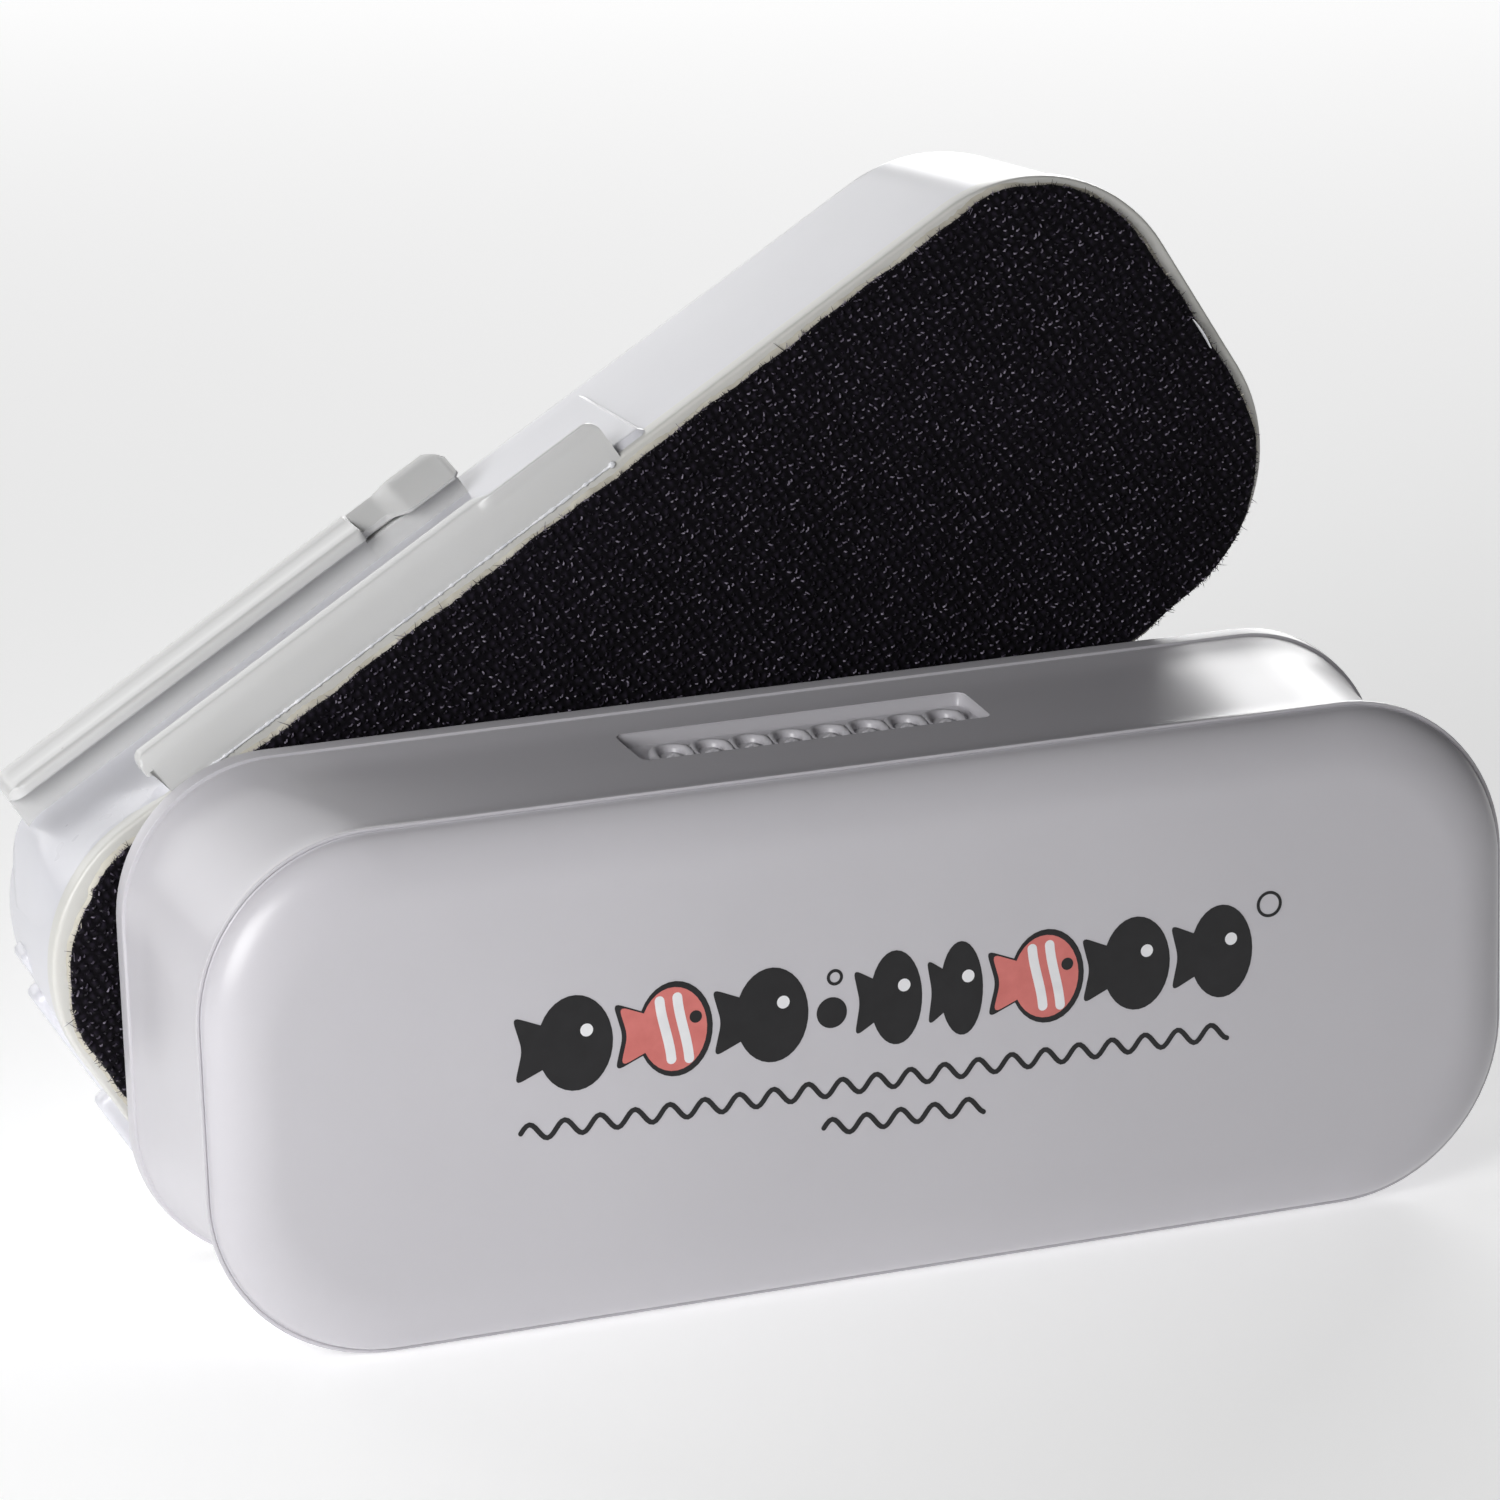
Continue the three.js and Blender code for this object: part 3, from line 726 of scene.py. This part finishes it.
def tubes(paths, radii, sides=3):
    """Closed thin tubes. paths is (count, stations, 3), radii is (stations,) or (count, stations)."""
    paths = np.asarray(paths, float)
    count, stations, _ = paths.shape
    radii = np.broadcast_to(radii, (count, stations))
    step = np.gradient(paths, axis=1)
    step /= np.linalg.norm(step, axis=2, keepdims=True) + 1e-12
    helper = np.zeros_like(step)
    helper[..., 0] = 1.0
    across = np.cross(step, helper)
    flat = np.linalg.norm(across, axis=2) < 0.1
    helper[flat] = (0, 0, 1)
    across = np.cross(step, helper)
    across /= np.linalg.norm(across, axis=2, keepdims=True)
    other = np.cross(step, across)
    turn = 2 * np.pi * np.arange(sides) / sides
    ring = (across[:, :, None, :] * np.cos(turn)[None, None, :, None]
            + other[:, :, None, :] * np.sin(turn)[None, None, :, None])
    points = (paths[:, :, None, :] + ring * radii[:, :, None, None]).reshape(-1, 3)
    one = []                      # the faces of a single tube
    for s in range(stations - 1):
        for k in range(sides):
            j = (k + 1) % sides
            one.append((s * sides + k, s * sides + j, (s + 1) * sides + j, (s + 1) * sides + k))
    one.append(tuple(range(sides - 1, -1, -1)))
    one.append(tuple(range((stations - 1) * sides, stations * sides)))
    per = stations * sides
    faces = [tuple(c * per + i for i in face) for c in range(count) for face in one]
    return points, faces


HOOK_PITCH = 0.8
HOOK_BEND = np.radians([0, 42, 84, 126, 168, 205])
HOOK_RADII = np.array((0.1, 0.1, 0.095, 0.09, 0.075, 0.035))
THREAD_RADII = np.array((0.045, 0.04, 0.03, 0.012))


def scrub_hooks(outline):
    """Rows of small hooks over the whole pad, leaning in alternate directions row by row."""
    dice = np.random.default_rng(11)
    xs, zs = np.meshgrid(np.arange(PAD_LOW.x - 1, PAD_HIGH.x + 1, HOOK_PITCH),
                         np.arange(PAD_LOW.z - 1, PAD_HIGH.z + 1, HOOK_PITCH * 1.04))
    row = np.arange(xs.shape[0])[:, None] + np.zeros_like(xs)
    xs = xs + (row % 2) * HOOK_PITCH / 2
    xs, zs, row = xs.ravel(), zs.ravel(), row.ravel()
    xs = xs + dice.normal(0, 0.13, len(xs))
    zs = zs + dice.normal(0, 0.11, len(zs))
    keep = inside(inward(outline, 0.3), xs, zs)
    xs, zs, row = xs[keep], zs[keep], row[keep]
    count = len(xs)
    lean = np.where(row % 2 == 0, 1.0, -1.0) * dice.normal(1.0, 0.2, count)
    turn = dice.normal(0, 0.55, count)
    size = dice.uniform(0.75, 1.1, count)
    along = np.stack([np.cos(turn) * lean, np.zeros(count), np.sin(turn) * lean], 1)
    base = np.stack([xs, np.full(count, PAD_LOW.y + 0.3), zs], 1)
    reach = 0.18 * (1 - np.cos(HOOK_BEND))
    rise = 0.1 + 0.2 * np.sin(HOOK_BEND)
    paths = (base[:, None, :] + along[:, None, :] * (reach[None, :] * size[:, None])[..., None]
             + np.array((0, -1.0, 0))[None, None, :] * (rise[None, :] * size[:, None])[..., None])
    left = xs < (PAD_LOW.x + PAD_HIGH.x) / 2
    for name, part in (("scrub_hooks_left", left), ("scrub_hooks_right", ~left)):
        make(name, tubes(paths[part], HOOK_RADII), HOOK_NYLON_PAINTED_GLINTS, "inner_half", sharp=75)


def frayed_edge(outline):
    """Short broken threads along the cut edge, a few of them paler backing threads.

    Spread is the mean length of a kind of thread, and longest is its limit."""
    dice = np.random.default_rng(5)
    loop = np.array(inward(outline, 0.12))
    out = loop - np.array(inward(outline, 0.6))
    out /= np.linalg.norm(out, axis=1, keepdims=True)
    # the cut and stray nylon threads carry the same painted glints as the hooks
    for name, count, look, spread, longest in (("cut_threads", 4200, HOOK_NYLON_PAINTED_GLINTS, 0.24, 0.7),
                                               ("stray_threads", 90, HOOK_NYLON_PAINTED_GLINTS, 0.6, 1.4),
                                               ("backing_threads", 260, FILM, 0.3, 0.8)):
        pick = dice.integers(0, len(loop), count)
        start = loop[pick] + dice.normal(0, 0.08, (count, 2))
        away = out[pick] + dice.normal(0, 0.75, (count, 2))
        away /= np.linalg.norm(away, axis=1, keepdims=True)
        length = dice.gamma(2.2, spread / 2.2, count).clip(0.06, longest)
        depth = dice.uniform(PAD_LOW.y + 0.35, PAD_HIGH.y - 0.1, count)
        lift = dice.normal(-0.1, 0.3, count)
        paths = np.zeros((count, 4, 3))
        for s in range(4):
            t = s / 3
            paths[:, s, 0] = start[:, 0] + away[:, 0] * length * t
            paths[:, s, 2] = start[:, 1] + away[:, 1] * length * t
            paths[:, s, 1] = np.minimum(depth + lift * length * t + 0.1 * length * t * t, -0.06)
        make(name, tubes(paths, THREAD_RADII), look, "inner_half", sharp=75)


# ---- blade holder ----
# Places along x: the far rail runs from left to end and its low web on to latch_end; the near rail runs
# from near_left, stands on the rim from near_body, and thins between thin_from and thin_to.
HOLDER = {"left": -56.1, "end": -13.3, "latch_end": -2.3, "base_end": 12.6, "near_left": -44.9,
          "near_body": -44.1, "thin_from": -4.6, "thin_to": -2.7, "near_end": 9.5}
NEAR_BACK = 3.3                   # y of the near rail's back face, thick and thin
NEAR_THIN = 1.3
OVERHANG = 26.6                   # z of the near rail's underside at its free left end
LOW_WEB = 25.8                    # z of the tops of the low web and the two rails
TOP_NEAR = 28.5
TOP_FAR = 28.2
LIP_FRONT = 15.5                  # y of the far rail's lip, web and back, and z of the lip's underside
LIP_UNDER = 26.9
WEB_FRONT = 17.9
BACK_EDGE = 22.2
NEAR_FOOT = 24.0                  # nominal z of the rails' feet, before they are dropped to the wall
FAR_FOOT = 23.0
BLEND = 0.4                       # how far before near_body the overhang begins to slope down


def wall_top(x, y):
    """Height of the case's upper wall at a place along it and back from the rim."""
    inset = SET_IN + WALL_LEAN * (y - PLATE) / (INNER_D - PLATE) if y > PLATE else 0.0
    flat = INNER_W / 2 - inset - CORNER
    over = max(0.0, abs(x) - flat)
    corner = CORNER - math.sqrt(max(CORNER ** 2 - over ** 2, 1.0))
    return INNER_H / 2 - inset - corner


def clipped_rail(name, section, xs, top, front, back, foot, nodes=(), hold=20.8):
    """A rail lofted along x from a (y, z, is foot) section, within limits that are functions of x.

    What lies behind hold is squeezed or stretched so that it reaches the back."""
    rings = []
    deepest = max(y for y, z, is_foot in section)
    for x in xs:
        ring = []
        for y, z, is_foot in section:
            y = max(y, front(x))
            if y > hold:
                y = hold + (y - hold) * (back(x) - hold) / (deepest - hold)
            low = foot(x, y)
            ring.append((x, y, low if is_foot else max(min(z, top(x)), low + 0.02)))
        rings.append(ring)
    make(name, skin(rings), RAIL_PLASTIC, "inner_half", nodes, sharp=38)


def stations(x0, x1, radius, steps=8):
    """Places along x that crowd together within a radius of each end."""
    ease = [radius * (1 - math.cos(math.pi / 2 * i / steps)) for i in range(steps + 1)]
    return [x0 + e for e in ease] + [x1 - e for e in reversed(ease)]


def round_end(distance, radius, deep):
    """How far a rounded corner has dropped at a distance from its end."""
    if distance >= radius:
        return 0.0
    return deep * (1 - math.sqrt(max(0.0, 1 - ((radius - distance) / radius) ** 2)))


def rail_section(keys, steps=4):
    """A rounded (y, z) section. Each key is y, z, radius, and whether it is a foot point."""
    path = rounded_loop([(y, z, float(is_foot), radius) for y, z, radius, is_foot in keys], steps)
    return [(y, z, foot > 0.5) for y, z, foot in path]


def eased(value, low, high):
    """0 below low, 1 above high, and smooth between."""
    t = min(1.0, max(0.0, (value - low) / (high - low)))
    return t * t * (3 - 2 * t)


def near_rail():
    """A bevelled bar that stands on the rim: it overhangs at its left end and is thin past the latch."""
    x0, x1 = HOLDER["near_left"], HOLDER["near_end"]
    section = rail_section((
        (NEAR_BACK, NEAR_FOOT, 0, True), (NEAR_BACK, TOP_NEAR, 0.3, False), (1.5, TOP_NEAR - 0.08, 0.25, False),
        (0.8, TOP_NEAR - 1.15, 0.6, False), (0.1, NEAR_FOOT + 0.5, 0.3, False),
        (0.05, NEAR_FOOT, 0, True),
    ))

    def top(x):
        return TOP_NEAR - round_end(x - x0, 1.3, 1.25) - round_end(x1 - x, 1.5, 1.5)

    def front(x):
        return round_end(x - x0, 1.0, 0.8)

    def back(x):
        thin = eased(x, HOLDER["thin_from"], HOLDER["thin_to"])
        return NEAR_BACK + (NEAR_THIN - NEAR_BACK) * thin - round_end(x - x0, 0.6, 0.4)

    def foot(x, y):
        wall = wall_top(x, max(y, 0.05)) - 0.5
        return OVERHANG + (wall - OVERHANG) * eased(x, HOLDER["near_body"] - BLEND, HOLDER["near_body"] + 0.5)

    under = [HOLDER["near_body"] - BLEND + 0.075 * i for i in range(13)]
    thinning = [HOLDER["thin_from"] + 0.19 * i for i in range(11)]
    xs = sorted(stations(x0, x1, 1.5) + under + thinning)
    clipped_rail("blade_rail_near", section, xs, top, front, back, foot, ["near_rail"], 0.8)


def far_rail():
    """A lip with a shallow groove along its top, rounded at its free corner, on a plain web."""
    x0, x1 = HOLDER["left"], HOLDER["end"]
    section = rail_section((
        (BACK_EDGE, FAR_FOOT, 0, True), (BACK_EDGE, TOP_FAR, 0.5, False), (20.7, TOP_FAR, 0.8, False),
        (19.7, TOP_FAR - 0.11, 0.8, False), (18.2, TOP_FAR - 0.11, 0.9, False), (17.0, TOP_FAR, 0.7, False),
        (LIP_FRONT, TOP_FAR - 0.1, 0.85, False), (LIP_FRONT, LIP_UNDER, 0.2, False),
        (LIP_FRONT + 0.5, LIP_UNDER - 0.05, 0.1, False), (WEB_FRONT, LIP_UNDER - 0.2, 0.4, False),
        (WEB_FRONT, FAR_FOOT, 0, True),
    ))

    def top(x):
        return TOP_FAR + 0.02 - round_end(x - x0, 1.9, 1.2) - round_end(x1 - x, 0.5, 0.4)

    def front(x):
        corner = round_end(x1 - x, 0.8, 0.6)
        return LIP_FRONT + round_end(x - x0, 2.3, 2.2) + corner

    def back(x):
        return BACK_EDGE - round_end(x - x0, 0.8, 0.6)

    def foot(x, y):
        return wall_top(x, y) - 0.12

    xs = stations(x0, x1, 2.4, 12)
    clipped_rail("blade_rail_far", section, xs, top, front, back, foot, ["far_rail"])
    set_in = 0.04                 # keeps the low web's faces off the far rail's own
    low = rail_section((
        (BACK_EDGE - set_in, FAR_FOOT, 0, True), (BACK_EDGE - set_in, LOW_WEB, 0.2, False),
        (WEB_FRONT + set_in, LOW_WEB, 0.2, False), (WEB_FRONT + set_in, FAR_FOOT, 0, True),
    ))
    end = HOLDER["latch_end"]
    clipped_rail("blade_rail_low_web", low, stations(x1 - 0.5, end, 0.4, 4),
                 lambda x: LOW_WEB - round_end(end - x, 0.4, 0.3), lambda x: WEB_FRONT,
                 lambda x: BACK_EDGE - set_in, foot)


BASE_LIFT = 0.65                  # height of the pad under the rails, over the wall
BASE_FRONT = 0.9                  # y of its front edge


def holder_base():
    """The raised pad under the rails: it fills the corner at the left and ends in a step at the right."""
    x0, x1 = HOLDER["left"] - 6.4, HOLDER["base_end"]
    depths = [BASE_FRONT + 0.25 * i for i in range(8)] + [2.9 + 1.24 * i for i in range(16)]
    step = 0.45                   # bevel at the right end

    def surface(x, y):
        wall = wall_top(x, y)
        flat = wall_top(0, y) + BASE_LIFT
        front = eased(y, BASE_FRONT, 13.5 - 12 * eased(x, HOLDER["near_body"] - 7, HOLDER["near_body"] + 0.5))
        return wall - 0.05 + (flat - wall + 0.05) * eased(x, x0 + 0.4, HOLDER["left"] + 2.1) * front

    rows = []
    for x in [x0 + (x1 - x0) * i / 90 for i in range(91)]:
        top = [(x, y, surface(x, y)) for y in depths]
        end = top[-1]
        rows.append([(x, depths[0], top[0][2] - 0.6)] + top + [(x, end[1] + 0.2, end[2] - 0.2),
                                                              (x, end[1] + 0.2, end[2] - 1.6)])
    last = len(rows[-1]) - 1
    rows.append([(x + step, y, z - (step if 0 < k < last else 0)) for k, (x, y, z) in enumerate(rows[-1])])
    make("holder_pad", skin(rows), INNER_PLASTIC, "inner_half", ["holder_base"], sharp=30)


def latch_finger():
    """The springy tongue: a sloping neck that widens into a bevelled head with a thin front edge."""
    low, high = inner_box("latch_finger")
    root, tip = low.x, high.x
    bevelled = 27.0               # the tip's edges above this z are bevelled
    # y and z of each section corner, at the neck and at the head
    corners = (((18.0, 26.9), (15.5, 26.75)), ((20.3, 27.75), (19.4, 28.3)), ((21.8, 28.0), (21.7, 28.4)),
               ((22.2, 27.7), (22.2, 28.1)), ((22.2, 26.0), (22.2, 26.0)), ((18.4, 26.0), (18.2, 26.1)),
               ((18.0, 26.3), (15.6, 26.45)))
    xs = [root + 0.25 * i for i in range(int((tip - root) / 0.25) + 1)] + [tip]
    rings = []
    for x in xs:
        head = eased(x, root + 2.7, root + 5.2)
        nose = max(0.0, 1 - (tip - x) / 1.7)
        ring = []
        for (neck_y, neck_z), (head_y, head_z) in corners:
            y = neck_y + (head_y - neck_y) * head
            z = neck_z + (head_z - neck_z) * head
            y = min(max(y, LIP_FRONT + max(0.0, 1 - (tip - x) / 0.7)), BACK_EDGE - 4.2 * nose ** 1.3)
            ring.append((x, y, z - 0.35 * max(0.0, 1 - (tip - x) / 0.5) * (z > bevelled)))
        rings.append(ring)
    make("latch_tongue", skin(rings), RAIL_PLASTIC, "latch", ["latch_finger"], sharp=24)


def weld_bead():
    """The squeezed-out weld along the near rail's foot: a thin line of small clear beads."""
    line_z = 23.8
    dice = random.Random(21)
    x = HOLDER["near_body"] + 0.3
    rings = []
    while x < HOLDER["near_end"] - 1.7:
        size = 0.09 + 0.14 * dice.random() ** 2
        rings.append((x, size))
        x += dice.uniform(0.14, 0.34)
    rings += [(x, 0.12), (x + 0.12, 0.3), (x + 0.35, 0.36), (x + 0.6, 0.28), (x + 0.75, 0.08)]
    solid = skin([[(x, -0.02 - size * 0.8 * math.cos(a), line_z + size * math.sin(a)) for a in turns(8)]
                  for x, size in rings])
    make("weld_bead", solid, WELD, "inner_half", sharp=80)


def end_rails():
    """The small rails on the left end: soft-edged lumps that grow out of the wall."""
    for node in ("end_rail_near", "end_rail_far", "end_stop"):
        low, high = inner_box(node)
        wide, tall = high.y - low.y, high.z - low.z
        rings = []
        for inset, x in ((0.75, 0), (0.35, 0.08), (0.08, 0.35), (0.0, 0.8), (0.0, 6)):
            ring = rounded_ring(wide - 2 * inset, tall - 2 * inset, min(wide, tall) * 0.3 - 0.3 * inset, 5)
            rings.append([(low.x + x, (low.y + high.y) / 2 + y, (low.z + high.z) / 2 + z) for y, z in ring])
        make(node + "_soft", skin(rings), INNER_PLASTIC, "inner_half", [node], sharp=45)


def loose_sliver():
    """A nick at the right edge, where a sliver of the pale backing shows beside the pad."""
    path = [(64.05 + 0.1 * math.sin(math.pi * t / 10), -0.2 - 0.36 * t) for t in range(11)]
    rings = []
    for i, (x, z) in enumerate(path):
        half = 0.09 * math.sin(math.pi * (i + 0.6) / 11.2)
        rings.append([(x - half, PAD_LOW.y - 0.05, z), (x + half, PAD_LOW.y - 0.07, z),
                      (x + half, PAD_LOW.y + 0.3, z), (x - half, PAD_LOW.y + 0.3, z)])
    make("backing_sliver", skin(rings), WELD, "inner_half", sharp=70)


def dress_cad_nodes():
    """The hidden pieces keep their CAD shape and get a finish of their own."""
    looks = {"felt_bonding_film": FILM}
    for half in ("outer", "inner"):
        looks.update({half + "_magnet_tray": TRAY_PLASTIC, half + "_magnet_left": FERRITE,
                      half + "_magnet_right": FERRITE, half + "_keeper_plate": PLATED})
    for node, look in looks.items():
        piece = frame["nodes"][node]
        piece.data.materials.clear()
        piece.data.materials.append(look)


# ---- stage, light and camera ----
def floor():
    """A pale sheet that glows a little."""
    n = Nodes("pale_floor")
    colour = n.ramp(n.noise(2.0, 2), [(0.3, (0.89, 0.89, 0.89)), (0.7, (0.91, 0.91, 0.91))])
    n.set(Base_Color=colour, Roughness=0.8, Emission_Color=(1, 1, 1, 1), Emission_Strength=0.36)
    bpy.ops.mesh.primitive_plane_add(size=8, location=(0, 0, 0))
    ground = bpy.context.object
    ground.name = "floor"
    ground.data.materials.append(n.material)


def soft_light(name, place, size, watts, target=(0, 0, 0.04), spread=180):
    """An area light, in metres and watts, aimed at a target."""
    lamp = bpy.data.lights.new(name, "AREA")
    lamp.shape = "RECTANGLE"
    lamp.size, lamp.size_y = size
    lamp.energy = watts
    lamp.spread = math.radians(spread)
    holder = bpy.data.objects.new(name, lamp)
    holder.location = place
    holder.rotation_euler = (Vector(target) - Vector(place)).to_track_quat("-Z", "Y").to_euler()
    bpy.context.scene.collection.objects.link(holder)


def studio():
    """Two broad glows behind, a small softbox at the left and a weak light overhead."""
    soft_light("backdrop_glow", (-0.45, 1.7, 0.62), (1.7, 0.95), 11.2, (0.0, 0, 0.3))
    soft_light("right_glow", (0.95, 1.65, 0.62), (1.1, 0.95), 16.0, (0.1, 0, 0.1))
    soft_light("left_softbox", (-0.3, -0.24, 0.16), (0.2, 0.2), 0.4, (-0.075, -0.02, 0.03), 100)
    soft_light("overhead", (0.0, 0.1, 1.1), (0.8, 0.8), 0.68)
    world = bpy.data.worlds.new("studio")
    world.use_nodes = True
    background = world.node_tree.nodes["Background"]
    background.inputs["Color"].default_value = (1, 1, 1, 1)
    background.inputs["Strength"].default_value = 0.03
    bpy.context.scene.world = world
    bpy.context.scene.view_settings.view_transform = "Standard"


# degrees, and millimetres in the outer half's axes; the lens and the sensor as on a full-frame camera
CAMERA = {"azimuth": -19.22, "elevation": 16.13, "roll": -1.75, "distance": 570.9,
          "target": (-11.42, 0.0, 28.01), "lens": 149.17, "sensor": 36}


def camera():
    az, el, roll = (math.radians(CAMERA[k]) for k in ("azimuth", "elevation", "roll"))
    back = Vector((math.sin(az) * math.cos(el), -math.cos(az) * math.cos(el), math.sin(el)))
    right = Vector((math.cos(az), math.sin(az), 0))
    up = back.cross(right)
    right, up = (right * math.cos(roll) + up * math.sin(roll), up * math.cos(roll) - right * math.sin(roll))
    lens = bpy.data.cameras.new("camera")
    lens.lens = CAMERA["lens"]
    lens.sensor_width = CAMERA["sensor"]
    lens.clip_start = 0.01
    view = bpy.data.objects.new("camera", lens)
    target = OUTER_AXES @ Vector(CAMERA["target"])
    turn = Matrix((right, up, back)).transposed().to_4x4()
    view.matrix_world = Matrix.Translation(target + back * CAMERA["distance"] * MM) @ turn
    bpy.context.scene.collection.objects.link(view)
    bpy.context.scene.camera = view


camera()
studio()
floor()
outer_front_cover()
outer_case()
front_print()
badge_waves()
felt_pad()
inner_base_plate()
inner_case()
cut = pad_outline()
scrub_pad(cut)
scrub_hooks(cut)
frayed_edge(cut)
holder_base()
near_rail()
far_rail()
latch_finger()
weld_bead()
end_rails()
loose_sliver()
dress_cad_nodes()
